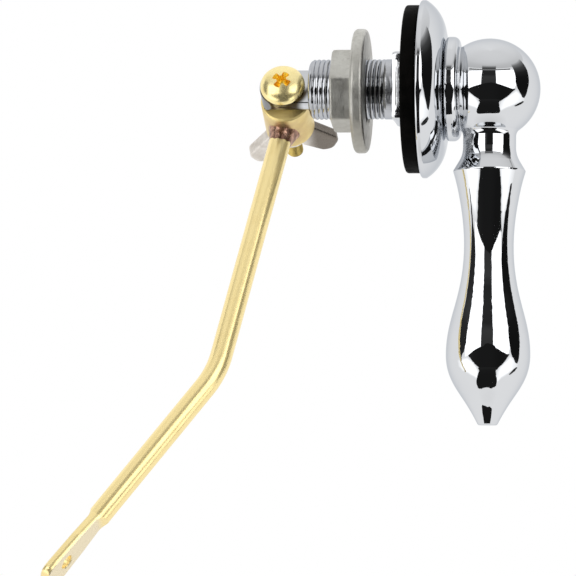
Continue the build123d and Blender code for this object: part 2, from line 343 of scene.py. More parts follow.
# The square shoulder, buffed to a long bevel in the middle of each side and a short one at its corners
bevels = []
for angle in sleeve_angles:
    corner_share = eased(shoulder_half * math.tan(off_square(angle)), *shoulder_bevel_fade)
    bevels.append(shoulder_side_bevel + (shoulder_corner_bevel - shoulder_side_bevel) * corner_share)
square = [square_reach(angle, shoulder_half, shoulder_corner) for angle in sleeve_angles]
stations += [(escutcheon_back, square), (shoulder_middle, square)]
for step in range(shoulder_bevel_rows, -1, -1):
    share = step / shoulder_bevel_rows
    sunk = shoulder_bevel_depth * (1.0 - share) ** shoulder_bevel_curve
    stations.append(([shoulder_end + bevel * share for bevel in bevels], [reach - sunk for reach in square]))

# The sleeve, its thread fading out at both ends and following the lead's round
root_end = shoulder_end - sleeve_root
stations += arc_points((root_end, sleeve_radius + sleeve_root), sleeve_root, 0, -90, sleeve_root_rows)
stations += [(root_end - edge_guard, sleeve_radius), (thread_start + 2.0 * edge_guard, sleeve_radius)]
lead_start = sleeve_end + sleeve_lead
lead_reach = sleeve_radius - sleeve_lead
rows = int((thread_start - thread_end) / thread_pitch * thread_rows)
for row in range(rows + 1):
    along = thread_start - row * thread_pitch / thread_rows
    fade = eased(thread_start - along, 0.0, thread_pitch) * eased(along - thread_end, 0.0, thread_runout)
    crest = lead_reach + math.sqrt(sleeve_lead ** 2 - max(0.0, lead_start - along) ** 2)
    stations.append((along, [crest - fade * thread_drop(along, angle) for angle in sleeve_angles]))
lead_from = 90.0 + math.degrees(math.asin((lead_start - thread_end) / sleeve_lead))
stations += arc_points((lead_start, lead_reach), sleeve_lead, lead_from, 180, round_rows)[1:]
stations += [(sleeve_end, sleeve_bore_radius + sleeve_bore_chamfer),
             (sleeve_end + sleeve_bore_chamfer, sleeve_bore_radius)]
escutcheon = loft("escutcheon_and_sleeve", turned_rings(stations, sleeve_angles))

# The sleeve's plating is duller, and the middle of the shoulder and of the neck behind it looks as cast
chrome, shader, wire, plated, gloss = chrome_finish("chrome_plate")
along = measured(wire, lengthwise)
height = measured(wire, vertical)
on_thread = between(wire, along, *thread_mask, 1.0, 0.0)
behind_gasket = between(wire, along, *gasket_mask, 1.0, 0.0)
shoulder_cast = between(wire, along, *shoulder_cast_from) * behind_gasket
neck_cast = between(wire, along, *neck_cast_from) * between(wire, along, *neck_cast_to, 1.0, 0.0)
as_cast = (shoulder_cast + neck_cast) * between(wire, height * height, *cast_height_squared, 1.0, 0.0)
feed(shader, "Base Color", blend(wire, on_thread, plated, chrome_on_thread))
dulled = behind_gasket * shoulder_dulling + on_thread * thread_dulling + as_cast * cast_dulling
feed(shader, "Roughness", gloss + dulled)
uneven = grain(wire, 140.0, 2.0) * 0.04 + grain(wire, 420.0, 3.0) * as_cast * 2.0
feed(shader, "Normal", bump(wire, uneven, 1.0, 0.15))
dress(escutcheon, "mounting", "escutcheon_sleeve", chrome, crease=38.0)

# Gasket
# A moulded black rubber washer. It slips over the square shoulder and is pressed between the escutcheon
# and the cistern wall, which it seals.
rubber_dark = (0.001, 0.001, 0.0008)
rubber_pale = (0.003, 0.0027, 0.0024)
rubber_roughness = (0.5, 0.72)
rubber_shine = 0.03

rubber, shader, wire = finish("black_rubber", 0.0, rubber_shine)
mottle = grain(wire, 320.0, 4.0)
feed(shader, "Base Color", blend(wire, between(wire, mottle, 0.35, 0.75), rubber_dark, rubber_pale))
feed(shader, "Roughness", between(wire, mottle, 0.3, 0.7, *rubber_roughness))
feed(shader, "Normal", bump(wire, grain(wire, 2600.0, 2.0), 0.25, 0.1))
clad(frame["nodes"]["gasket"], rubber)

# Flange nut
# A grey zinc casting with a hexagon, a round flange and an internal thread. It hangs loose on the
# sleeve with the wall's space between it and the gasket.
nut_place = -8.8
nut_sag = -0.4
nut_flange_radius = 14.15
nut_flange_thickness = 2.95
nut_flange_round = 0.9
nut_flange_rows = 10
nut_front_rings = (10.0, 12.6)
nut_back_rings = (12.6, 11.2)
nut_end = -16.8
nut_half = 8.4
nut_side_rings = (3.0, 1.2)
nut_end_round = 0.55
nut_end_turn = 175
nut_end_rows = 12
nut_chamfer = 0.4
nut_chamfer_angle = math.radians(30.0)
nut_chamfer_lift = 0.15
nut_bore_radius = 7.35
nut_bore_chamfer = 0.5
nut_thread_inset = 0.6
nut_thread_end = 0.45
nut_thread_rows = 8
nut_root = 0.5
nut_root_rows = 6
nut_turn = math.radians(11.6)
nut_sharpness = 60.0
nut_sides = 240

zinc_pale = (0.61, 0.605, 0.565)
zinc_dark = (0.47, 0.46, 0.42)
zinc_speck = (0.34, 0.33, 0.30)
zinc_underside_shade = (0.33, 0.315, 0.275)
zinc_underside_shade_height = (-12.0, -2.0)
zinc_underside_shade_share = 0.75
zinc_metallic = 0.92
zinc_roughness = (0.36, 0.48)


def soft_least(first, second):
    """The lesser of two reaches, with the edge where they meet softened as on a casting."""
    return (first ** -nut_sharpness + second ** -nut_sharpness) ** (-1.0 / nut_sharpness)


def hexagon_reach(angle):
    """Distance from the axis to a hexagon whose corners are softly rounded, as cast."""
    facing = (math.cos(angle - nut_turn - tau * side / 6.0) for side in range(6))
    return nut_half / sum(max(0.0, f) ** nut_sharpness for f in facing) ** (1.0 / nut_sharpness)


nut_angles = [tau * step / nut_sides for step in range(nut_sides)]
hexagon = [hexagon_reach(angle) for angle in nut_angles]
corner_reach = max(hexagon)
flange_back = nut_place - nut_flange_thickness
flange_edge = nut_flange_radius - nut_flange_round
front_round = (nut_place - nut_flange_round, flange_edge)
back_round = (flange_back + nut_flange_round, flange_edge)
stations = [(nut_place, nut_bore_radius + nut_bore_chamfer)]
stations += [(nut_place, reach) for reach in nut_front_rings]
stations += arc_points(front_round, nut_flange_round, 0, 90, nut_flange_rows)
stations += arc_points(back_round, nut_flange_round, 90, 180, nut_flange_rows)
stations += [(flange_back, reach) for reach in nut_back_rings]
for along, out in arc_points((flange_back - nut_root, nut_root), nut_root, 0, -90, nut_root_rows):
    stations.append((along, [reach + out for reach in hexagon]))
stations += [(nut_end + along, hexagon) for along in nut_side_rings]
end_round = (nut_end + nut_end_round, -nut_end_round)
for along, drop in arc_points(end_round, nut_end_round, 90, nut_end_turn, nut_end_rows):
    cone = corner_reach - max(0.0, nut_end + nut_chamfer - along) / math.tan(nut_chamfer_angle)
    stations.append((along, [soft_least(reach + drop, cone + nut_chamfer_lift) for reach in hexagon]))
stations += [(nut_end, nut_bore_radius + nut_bore_chamfer), (nut_end + nut_bore_chamfer, nut_bore_radius)]
rows = int((nut_place - nut_end - 2.0 * nut_thread_inset) / thread_pitch * nut_thread_rows)
for row in range(rows + 1):
    along = nut_end + nut_thread_inset + row * thread_pitch / nut_thread_rows
    stations.append((along, [nut_bore_radius + thread_drop(along, angle) for angle in nut_angles]))
stations.append((nut_place - nut_thread_end, nut_bore_radius))
nut = loft("flange_nut_casting", turned_rings(stations, nut_angles, math.sin, math.cos, nut_sag))

zinc, shader, wire = finish("grey_zinc", zinc_metallic)
cloud = grain(wire, 260.0, 5.0, 0.6)
speck = grain(wire, 1500.0, 2.0)
cast = blend(wire, between(wire, cloud, 0.3, 0.75), zinc_pale, zinc_dark)
cast = blend(wire, between(wire, speck, 0.5, 0.8, 0.0, 0.4), cast, zinc_speck)
# Painted shade: the nut's lower part is darkened, since little light reaches it from below
underside_shade = between(wire, measured(wire, vertical), *zinc_underside_shade_height, zinc_underside_shade_share, 0.0)
feed(shader, "Base Color", blend(wire, underside_shade, cast, zinc_underside_shade))
feed(shader, "Roughness", between(wire, grain(wire, 700.0), 0.3, 0.7, *zinc_roughness))
feed(shader, "Normal", bump(wire, grain(wire, 1700.0, 3.0), 0.25, 0.2))
dress(nut, "nut", "flange_nut", zinc, crease=40.0)

# Lever handle
# One zinc casting, polished and chrome plated: baluster grip, ball, bead ring and the spindle whose
# flatted tongue takes the clamp screw. It turns in the sleeve. The tongue beside the screw's head is
# darkened with painted shade, and the side of the neck that the escutcheon hides is polished less.
head_shade_colour = (0.06, 0.045, 0.025)
head_shade_dulling = 0.2
head_shade_right_reach = (5.5, 6.8)
head_shade_right_start = (2.8, 4.5)
head_shade_left_reach = (5.1, 5.6)
head_shade_left_start = (3.8, 4.8)
neck_foot = (-16.5, -14.0)
neck_top = (-9.5, -8.0)
neck_side_start = (12.4, 13.1)
neck_side_end = (14.8, 16.0)
neck_dulling = 0.28

arm_hinge = next(joint for joint in frame["joints"] if joint["name"] == "arm_swing")
screw_axis = Vector(arm_hinge["axis"]).normalized()
screw_place = Vector(arm_hinge["pos_m"])
screw_side = screw_axis.cross(lengthwise)
head_shade_right = (lengthwise * 0.6 - screw_side * 0.8).normalized()
head_shade_left = (-lengthwise - screw_side).normalized()

polished, shader, wire, plated, gloss = chrome_finish("chrome_handle")
from_screw = vector_maths(wire, "SUBTRACT", own_place(wire), screw_place)
swept = vector_maths(wire, "CROSS_PRODUCT", from_screw, screw_axis / mm)
radial = vector_maths(wire, "LENGTH", swept, output="Value")
# Painted shade: two dark crescents on the tongue beside the screw's head, also made a little rougher
head_shade = between(wire, radial, *head_shade_right_reach, 1.0, 0.0)
head_shade = head_shade * between(wire, measured(wire, head_shade_right, screw_place), *head_shade_right_start)
left_head_shade = between(wire, radial, *head_shade_left_reach, 1.0, 0.0)
head_shade = head_shade + left_head_shade * between(wire, measured(wire, head_shade_left, screw_place), *head_shade_left_start)
along = measured(wire, lengthwise)
height = measured(wire, vertical)
hidden_side = between(wire, along, *neck_side_start) * between(wire, along, *neck_side_end, 1.0, 0.0)
hidden_side = hidden_side * between(wire, height, *neck_foot) * between(wire, height, *neck_top, 1.0, 0.0)
feed(shader, "Base Color", blend(wire, head_shade, plated, head_shade_colour))
feed(shader, "Roughness", gloss + head_shade * head_shade_dulling + hidden_side * neck_dulling)
feed(shader, "Normal", bump(wire, grain(wire, 140.0, 2.0), 0.03, 0.2))
clad(frame["nodes"]["lever_handle"], polished)

# Clamp screw
# A brass screw with a domed head and a cross recess. It passes through the tongue and the arm's boss
# into the wing nut.
head_seat = 1.4
head_radius = 5.1
head_edge = 0.3
head_dome = 2.8
head_dome_step = 2
head_rim_height = 0.08
head_rim_inset = 0.04
screw_radius = 2.0
screw_root = 0.3
screw_end = -27.0
screw_tip_length = 0.5
screw_tip_drop = 0.6
screw_pitch = 0.7
screw_thread_top = -16.5
screw_thread_depth = 0.3
screw_thread_rows = 10
screw_sides = 96
recess_reach = 2.4
recess_waist = 1.15
recess_turn = math.radians(58.0)
recess_lobe = (-0.7, 0.1)
recess_levels = ((-1.9, 0.4), (-0.5, 0.85), (0.5, 1.1))
recess_lowest = 0.5
recess_sunk = 0.07

brass_bright = (1.0, 0.85, 0.42)
brass_tarnished = (0.94, 0.76, 0.32)
brass_tail = (0.66, 0.50, 0.15)
brass_recess_reflection = (1.0, 0.72, 0.11)
brass_metallic = 0.86
brass_roughness = (0.23, 0.29)
tail_fade = 1.0
tail_dulling = 0.15

clamp_axes = Matrix((lengthwise, screw_side, screw_axis)).transposed().to_4x4()
clamp_axes.translation = screw_place
dome_base = head_seat + head_edge
stations = []
for step in range(head_dome_step, 91, head_dome_step):
    turn = math.radians(step)
    stations.append((dome_base + head_dome * math.cos(turn), head_radius * math.sin(turn)))
stations += [(head_seat + head_rim_height, head_radius - head_rim_inset),
             (head_seat, head_radius - head_edge), (head_seat, screw_radius + screw_root),
             (head_seat - screw_root, screw_radius), (screw_thread_top, screw_radius)]
screw_angles = [tau * step / screw_sides for step in range(screw_sides)]
rows = int((screw_thread_top - screw_end - screw_pitch) / screw_pitch * screw_thread_rows)
for row in range(1, rows + 1):
    along = screw_thread_top - row * screw_pitch / screw_thread_rows
    fade = screw_thread_depth * eased(screw_thread_top - along, 0.0, screw_pitch)
    cut = [abs(1.0 - 2.0 * ((along / screw_pitch - angle / tau) % 1.0)) for angle in screw_angles]
    stations.append((along, [screw_radius - fade * groove for groove in cut]))
stations += [(screw_end + screw_tip_length, screw_radius - screw_thread_depth),
             (screw_end, screw_radius - screw_tip_drop)]
rings = [[(y, z, x) for x, y, z in ring] for ring in turned_rings(stations, screw_angles)]
screw = loft("clamp_screw_cross_head", rings, "fans", clamp_axes)


def cut_away(piece, rings):
    """Take a lofted shape in the clamp's axes out of a piece."""
    cutter = loft("cutter", rings, "fans", clamp_axes)
    step = piece.modifiers.new("cut", "BOOLEAN")
    step.object = cutter
    step.operation = "DIFFERENCE"
    step.solver = "EXACT"
    whole = piece.data
    piece.data = bpy.data.meshes.new_from_object(piece.evaluated_get(bpy.context.evaluated_depsgraph_get()))
    piece.modifiers.clear()
    spent = cutter.data
    bpy.data.objects.remove(cutter)
    for mesh in (whole, spent):
        bpy.data.meshes.remove(mesh)


rings = []
for level, share in recess_levels:
    ring = []
    for angle in screw_angles:
        lobe = eased(math.cos(4.0 * (angle - recess_turn)), *recess_lobe)
        reach = share * (recess_waist + (recess_reach - recess_waist) * lobe)
        ring.append((reach * math.cos(angle), reach * math.sin(angle), dome_base + head_dome + level))
    rings.append(ring)
cut_away(screw, rings)

# Faces below the dome's surface are marked, since the recess is painted brighter and more orange than the
# head: painted reflection of light bounced between its brass walls
into_clamp = clamp_axes.inverted()
marks = []
for face in screw.data.polygons:
    local = into_clamp @ face.center / mm
    out = min(1.0, local.xy.length / head_radius)
    below = dome_base + head_dome * math.sqrt(1.0 - out ** 2) - local.z
    marks.append(1.0 if local.z > head_seat + recess_lowest and below > recess_sunk else 0.0)
screw.data.attributes.new("recess", "FLOAT", "FACE").data.foreach_set("value", marks)

brass, shader, wire = finish("polished_brass", brass_metallic)
tarnish = grain(wire, 500.0, 4.0)
recess = wire.node("ShaderNodeAttribute", {"attribute_name": "recess"}, output="Fac")
axial = measured(wire, screw_axis, screw_place)
tail = between(wire, axial, screw_thread_top - tail_fade, screw_thread_top, 1.0, 0.0)
gold = blend(wire, between(wire, tarnish, 0.45, 0.8), brass_bright, brass_tarnished)
gold = blend(wire, tail, gold, brass_tail)
# The recess takes its painted reflection colour
feed(shader, "Base Color", blend(wire, recess, gold, brass_recess_reflection))
feed(shader, "Roughness", between(wire, tarnish, 0.3, 0.75, *brass_roughness) + tail * tail_dulling)
dress(screw, "handle", "clamp_screw", brass, crease=35.0)

# Arm boss
# A short length of turned brass bar, cross-drilled for the rod. The clamp screw holds it against the
# tongue, and brazing has stained its foot.
boss_radius = 5.65
rod_level = -10.15
rod_lean = math.radians(9.9)
stain_out = 0.6
stain_drop = 0.5
stain_ragged = 6.0

boss_bright = (0.86, 0.69, 0.30)
boss_dark = (0.76, 0.58, 0.24)
boss_tint = (0.66, 0.48, 0.24)
boss_scorch = (0.34, 0.18, 0.10)
boss_face_light = (1.0, 0.80, 0.34)
boss_metallic = 0.75
boss_roughness = (0.32, 0.42)
face_light_depth = (0.4, 0.1)
face_light_dulling = 0.15
scorch_reach = (2.4, 4.6)
tint_reach = (3.0, 7.5)
tint_share = 0.8

rod_first = Vector((-math.sin(rod_lean), -math.cos(rod_lean)))
stain_along = rod_first * (boss_radius + stain_out)
stain_place = clamp_axes @ (Vector((*stain_along, rod_level - stain_drop)) * mm)
boss = frame["nodes"]["arm_boss"]
boss_top = max(screw_axis.dot(vertex.co) for vertex in boss.data.vertices) / mm

turned, shader, wire = finish("turned_brass", boss_metallic)
axial = measured(wire, screw_axis)
lathe = wire.node("ShaderNodeTexNoise", {"noise_dimensions": "1D"},
                  {"W": axial, "Scale": 2.6, "Detail": 2.0})
boss_cloud = grain(wire, 300.0, 4.0)
from_stain = vector_maths(wire, "DISTANCE", own_place(wire), stain_place, "Value") * (1.0 / mm)
ragged = from_stain + (grain(wire, 420.0, 4.0) - 0.5) * stain_ragged
scorch = between(wire, ragged, *scorch_reach, 1.0, 0.0)
tint = between(wire, ragged, *tint_reach, tint_share, 0.0)
# Painted light: the end face, in the shade of the screw's head, is painted a lighter, warmer gold
end_face_light = between(wire, axial, *(boss_top - depth for depth in face_light_depth))
gold = blend(wire, between(wire, boss_cloud, 0.3, 0.75), boss_bright, boss_dark)
gold = blend(wire, end_face_light, blend(wire, tint, gold, boss_tint), boss_face_light)
feed(shader, "Base Color", blend(wire, scorch, gold, boss_scorch))
feed(shader, "Roughness", between(wire, boss_cloud, 0.3, 0.7, *boss_roughness) + end_face_light * face_light_dulling)
feed(shader, "Normal", bump(wire, lathe, 0.12, 0.1))
clad(boss, turned)

# Arm rod
# Drawn brass rod, bent once, its far end pressed flat and drilled for the chain. Its other end is
# brazed into the boss.
rod_radius = 2.5
rod_start = 2.9
rod_upper = 69.0
rod_bend = math.radians(23.4)
rod_bend_radius = 22.0
rod_lower = 55.5
rod_sides = 96
flat_lead = 13.0
flat_tail = 6.5
flat_half = 1.1
flat_mid = 3.3
flat_end = 3.9
flat_onset = 0.3
press_radius = 3.2
press_margin = 1.2
tip_round = 2.2
tip_fine = 1.0
tip_close = 0.02
hole_radius = 1.6
hole_mouth = 0.25
hole_flare_radius = 2.6
hole_flare_depth = 2.0
hole_sides = 48

rod_bright = (1.0, 0.82, 0.40)
rod_streaked = (0.97, 0.785, 0.365)
rod_patched = (0.87, 0.66, 0.27)
rod_pressed = (0.86, 0.75, 0.52)
rod_metallic = 0.65
rod_roughness = (0.2, 0.26)
pressed_dulling = 0.15
flat_side_squared = (0.8, 1.1)
streak_stretch = (0.05, 1.0, 1.0)

rod_second = Vector((-math.sin(rod_lean + rod_bend), -math.cos(rod_lean + rod_bend)))
bend_trim = rod_bend_radius * math.tan(rod_bend / 2.0)
bend_start = rod_upper - bend_trim
bend_end = bend_start + rod_bend_radius * rod_bend
hole_run = bend_end + rod_lower - bend_trim
flat_start = hole_run - flat_lead
rod_end = hole_run + flat_tail
press_length = math.sqrt(press_radius ** 2 - (press_radius - (rod_radius - flat_half)) ** 2)


def beside(heading):
    """The direction square to a heading in the clamp's own plane."""
    return Vector((heading.y, -heading.x))


def rod_point(run):
    """Centre line of the rod and its direction, in the clamp's own plane, at a run from the boss."""
    if run <= bend_start:
        return rod_first * run, rod_first
    if run <= bend_end:
        facing = rod_lean + (run - bend_start) / rod_bend_radius
        inward = Vector((-math.cos(rod_lean), math.sin(rod_lean)))
        back = Vector((math.cos(facing), -math.sin(facing)))
        heading = Vector((-math.sin(facing), -math.cos(facing)))
        return rod_first * bend_start + (inward + back) * rod_bend_radius, heading
    return rod_first * rod_upper + rod_second * (bend_trim + run - bend_end), rod_second


def flat_shape(past):
    """Half thickness and half width of the rod at a distance past the start of its pressed end."""
    lift = max(0.0, press_length - max(0.0, past))
    half = min(rod_radius, flat_half + press_radius - math.sqrt(press_radius ** 2 - lift ** 2))
    middle = flat_lead / 2.0
    grow = min(1.0, max(0.0, past - press_length * flat_onset) / middle)
    wide = rod_radius + (flat_mid - rod_radius) * grow
    wide += (flat_end - flat_mid) * min(1.0, max(0.0, past - middle) / (middle + flat_tail - flat_end))
    into_tip = max(0.0, past - (flat_lead + flat_tail - tip_round)) / tip_round
    return half, wide * math.sqrt(max(0.0, 1.0 - into_tip ** 2))


pressed_run = flat_start + press_length * press_margin
tip_run = rod_end - tip_fine
stretches = [(rod_start, bend_start, 60), (bend_start, bend_end, 30), (bend_end, flat_start, 30),
             (flat_start, pressed_run, 30), (pressed_run, tip_run, 50), (tip_run, rod_end - tip_close, 20)]
runs = []
for start, end, steps in stretches:
    runs += [start + (end - start) * step / steps for step in range(steps)]
rings = []
for run in runs:
    centre, heading = rod_point(run)
    half, wide = flat_shape(run - flat_start)
    ring = []
    for step in range(rod_sides):
        angle = tau * step / rod_sides
        pressed = max(-half, min(half, rod_radius * math.sin(angle)))
        point = centre + beside(heading) * pressed
        ring.append((point.x, point.y, rod_level + wide * math.cos(angle)))
    rings.append(ring)
rod = loft("arm_rod_drawn", rings, "fans", clamp_axes)

# The chain's hole, countersunk at both mouths
hole_centre, heading = rod_point(hole_run)
mouth = flat_half - hole_mouth
rings = []
for depth, reach in ((-hole_flare_depth, hole_flare_radius), (-mouth, hole_radius),
                     (mouth, hole_radius), (hole_flare_depth, hole_flare_radius)):
    ring = []
    for step in range(hole_sides):
        angle = tau * step / hole_sides
        point = hole_centre + beside(heading) * depth + heading * (reach * math.cos(angle))
        ring.append((point.x, point.y, rod_level + reach * math.sin(angle)))
    rings.append(ring)
cut_away(rod, rings)

# Drawing lines run along the rod, so their pattern is stretched along its length
drawn = []
for vertex in rod.data.vertices:
    local = into_clamp @ vertex.co / mm
    from_corner = local.xy - rod_first * rod_upper
    heading = rod_first if from_corner.dot(rod_first) < 0.0 else rod_second
    drawn += [rod_upper + from_corner.dot(heading), from_corner.dot(beside(heading)), local.z]
rod.data.attributes.new("drawn", "FLOAT_VECTOR", "POINT").data.foreach_set("vector", drawn)

drawn_brass, shader, wire = finish("drawn_brass", rod_metallic)
along_rod = wire.node("ShaderNodeAttribute", {"attribute_name": "drawn"}, output="Vector")
streak = grain(wire, 2.2, 4.0, 0.6, vector_maths(wire, "MULTIPLY", along_rod, streak_stretch))
patch = grain(wire, 260.0, 3.0)
pale = blend(wire, between(wire, streak, 0.35, 0.7), rod_bright, rod_streaked)
pale = blend(wire, between(wire, patch, 0.5, 0.8, 0.0, 0.35), pale, rod_patched)
rod_run = wire.node("ShaderNodeSeparateXYZ", {}, {"Vector": along_rod}, "X")
rod_side = wire.node("ShaderNodeSeparateXYZ", {}, {"Vector": along_rod}, "Y")
on_flat = between(wire, rod_run, flat_start + press_length * flat_onset, flat_start + press_length)
on_flat = on_flat * between(wire, rod_side * rod_side, *flat_side_squared)
feed(shader, "Base Color", blend(wire, on_flat, pale, rod_pressed))
feed(shader, "Roughness", between(wire, streak, 0.3, 0.75, *rod_roughness) + on_flat * pressed_dulling)
feed(shader, "Normal", bump(wire, streak, 0.015, 0.2))
dress(rod, "arm", "arm_rod", drawn_brass, crease=32.0)

# Braze fillet
# Copper-coloured filler run into the joint between rod and boss. It lies in lumps with an uneven edge,
# and one side has run down as a drip.
braze_height = 2.8
braze_width = 1.0
braze_upper_share = 0.4
braze_hollow = 1.8
braze_swell = 0.16
braze_lump = 0.3
braze_lump_waves = 2.6
braze_lump_drift = 2.4
braze_edge_sink = 0.06
braze_edge_curl = 6
braze_clearance = 0.03
braze_root_inset = 0.15
braze_root_depth = 0.6
braze_base_width = 0.6
braze_drip_turn = math.radians(-35.0)
braze_drip_spread = 0.25
braze_drip_width = 0.8
braze_drip_height = 0.25
braze_edge_ragged = 0.45
braze_edge_waves = 1.7
braze_edge_seed = Vector((3.1, 0.4, 7.7))
braze_height_ragged = 0.15
braze_height_waves = 2.3
braze_height_seed = Vector((9.2, 5.1, 1.3))
braze_rows = 10
braze_sides = 90

braze_copper = (0.54, 0.32, 0.23)
braze_scorched = (0.20, 0.105, 0.075)
braze_roughness = (0.2, 0.34)


def on_boss(out, angle, proud):
    """A point at a distance from the rod's axis and an angle round it, proud of the boss's surface."""
    sideways = out * math.cos(angle)
    along = math.sqrt(boss_radius ** 2 - sideways ** 2) + proud
    point = rod_first * along - beside(rod_first) * sideways
    return (point.x, point.y, rod_level + out * math.sin(angle))


def braze_point(angle, share):
    """A point on the filler's surface, at a share of the way out from the rod to the filler's edge."""
    place = Vector((math.cos(angle), math.sin(angle), 0.0))
    off_drip = (angle - braze_drip_turn + math.pi) % tau - math.pi
    drip = math.exp(-off_drip ** 2 / braze_drip_spread)
    uneven = braze_height_ragged * noise.noise(place * braze_height_waves + braze_height_seed)
    height = braze_height * (1.0 + uneven + braze_drip_height * drip)
    narrowed = 1.0 - (1.0 - braze_upper_share) * max(0.0, math.sin(angle))
    ragged = 1.0 + braze_edge_ragged * noise.noise(place * braze_edge_waves + braze_edge_seed)
    width = narrowed * braze_width * ragged + braze_drip_width * drip
    lump = braze_lump * noise.noise(place * braze_lump_waves + vertical * (braze_lump_drift * share))
    proud = height * (1.0 - share) ** braze_hollow + math.sin(math.pi * share) * (braze_swell + lump)
    proud -= braze_edge_sink * share ** braze_edge_curl
    return on_boss(rod_radius + braze_clearance + width * share, angle, proud)


braze_angles = [tau * step / braze_sides for step in range(braze_sides)]
rings = [[on_boss(rod_radius - braze_root_inset, angle, -braze_root_depth) for angle in braze_angles]]
for row in range(braze_rows + 1):
    rings.append([braze_point(angle, row / braze_rows) for angle in braze_angles])
rings.append([on_boss(rod_radius + braze_base_width, angle, -braze_root_depth) for angle in braze_angles])
fillet = loft("braze_fillet_lumps", rings, "loop", clamp_axes)

copper, shader, wire = finish("braze_metal", 1.0)
scorch = grain(wire, 700.0, 4.0)
feed(shader, "Base Color", blend(wire, between(wire, scorch, 0.35, 0.65), braze_copper, braze_scorched))
feed(shader, "Roughness", between(wire, scorch, 0.3, 0.7, *braze_roughness))
feed(shader, "Normal", bump(wire, grain(wire, 1200.0), 0.4, 0.3))
dress(fillet, "arm", "braze_fillet", copper, crease=60.0)

# Wing nut
# A plated steel wing nut with thick rounded ears, on the back of the clamp screw. The plating has dulled
# to a warm grey. The ear beside the sleeve is painted darker, as painted shade.
wing_pale = (0.80, 0.755, 0.70)
wing_dull = (0.66, 0.61, 0.55)
wing_far_ear_shade = (0.19, 0.165, 0.14)
wing_roughness = (0.36, 0.5)
far_ear_shade_start = (2.0, 6.0)
far_ear_shade_gloss = 0.14

steel, shader, wire = finish("dull_steel", 1.0)
clouded = blend(wire, between(wire, grain(wire, 500.0, 4.0), 0.3, 0.7), wing_pale, wing_dull)
# Painted shade: the ear beside the sleeve is painted dark and made a little glossier
far_ear_shade = between(wire, measured(wire, lengthwise, screw_place), *far_ear_shade_start)
feed(shader, "Base Color", blend(wire, far_ear_shade, clouded, wing_far_ear_shade))
worn = between(wire, grain(wire, 900.0), 0.3, 0.7, *wing_roughness)
feed(shader, "Roughness", worn - far_ear_shade * far_ear_shade_gloss)
feed(shader, "Normal", bump(wire, grain(wire, 1500.0), 0.25, 0.2))
clad(frame["nodes"]["wing_nut"], steel)

# Studio
# A pale floor, a white backdrop, two large soft boxes either side of the camera and the dark studio
# between them, which the chrome reflects.
view_azimuth = math.radians(6.8)
view_elevation = math.radians(-4.5)
view_roll = math.radians(0.65)
view_distance = 0.93
pixels_per_metre = 4400.0
picture_size = 576.0
origin_pixel = (406.5, 89.3)
floor_level = -0.16
floor_half = 3.0
floor_colour = (0.86, 0.86, 0.86)
floor_roughness = (0.8, 0.9)
floor_shine = 0.1
daylight = 0.55
lamp_azimuth = 45
lamp_elevation = 30
lamp_distance = 0.9
lamp_size = 0.5
lamp_power = 3.2
lamp_aim = Vector((-0.011, 0.0, -0.05))
studio_reach = 0.8
studio_centre = Vector((0.019, 0.0, 0.0))

flat_toward = Vector((math.sin(view_azimuth), -math.cos(view_azimuth), 0.0))
toward = flat_toward * math.cos(view_elevation) + vertical * math.sin(view_elevation)
level_right = Vector((math.cos(view_azimuth), math.sin(view_azimuth), 0.0))
level_up = toward.cross(level_right)
right = level_right * math.cos(view_roll) + level_up * math.sin(view_roll)
up = level_up * math.cos(view_roll) - level_right * math.sin(view_roll)
shift_right = (origin_pixel[0] - picture_size / 2.0) / pixels_per_metre
shift_up = (picture_size / 2.0 - origin_pixel[1]) / pixels_per_metre
lens = bpy.data.cameras.new("camera")
lens.sensor_width = 36.0
lens.lens = lens.sensor_width * pixels_per_metre * view_distance / picture_size
lens.clip_start = 0.01
camera = bpy.data.objects.new("camera", lens)
placed = Matrix((right, up, toward)).transposed().to_4x4()
placed.translation = toward * view_distance - right * shift_right - up * shift_up
camera.matrix_world = placed
bpy.context.scene.collection.objects.link(camera)
bpy.context.scene.camera = camera


def studio_point(azimuth, elevation, distance):
    """A point seen from the handle's ball at angles from the camera's direction and the horizon."""
    turn = math.radians(azimuth)
    rise = math.radians(elevation)
    flat = flat_toward * math.cos(turn) + level_right * math.sin(turn)
    return studio_centre + (flat * math.cos(rise) + vertical * math.sin(rise)) * distance


def card(name, distance, strips, upright=False, fade=0.0, columns=24, steps=6):
    """A curved studio card that only shows in reflections. Each strip gives an angle, the span across
    it and a brightness: rows of (elevation, left, right) or, upright, columns of (azimuth, low, high).
    The outer share of its span that fade gives turns into the white of the backdrop."""
    points = []
    glows = []
    faces = []
    for start, end in zip(strips, strips[1:]):
        first = len(points)
        for step in range(steps + 1):
            level, low, high, glow = (p + (q - p) * step / steps for p, q in zip(start, end))
            for column in range(columns + 1):
                across = column / columns
                other = low + (high - low) * across
                points.append(studio_point(*((level, other) if upright else (other, level)), distance))
                kept = eased(min(across, 1.0 - across), 0.0, fade) if fade else 1.0
                glows.append(1.0 + (glow - 1.0) * kept)
        for step in range(steps):
            for column in range(columns):
                corner = first + step * (columns + 1) + column
                faces.append((corner, corner + 1, corner + columns + 2, corner + columns + 1))
    mesh = bpy.data.meshes.new(name)
    mesh.from_pydata(points, [], faces)
    mesh.attributes.new("glow", "FLOAT", "POINT").data.foreach_set("value", glows)
    made = bpy.data.objects.new(name, mesh)
    bpy.context.scene.collection.objects.link(made)
    made.visible_camera = False
    made.visible_diffuse = False
    made.visible_shadow = False
    made.visible_transmission = False
    material = bpy.data.materials.new(name)
    material.use_nodes = True
    material.node_tree.nodes.clear()
    wire = Wire(material.node_tree)
    glow = wire.node("ShaderNodeAttribute", {"attribute_name": "glow"})
    light = wire.node("ShaderNodeEmission", {}, {"Color": glow})
    wire.node("ShaderNodeOutputMaterial", {}, {"Surface": light}, None)
    material.cycles.emission_sampling = "NONE"
    mesh.materials.append(material)


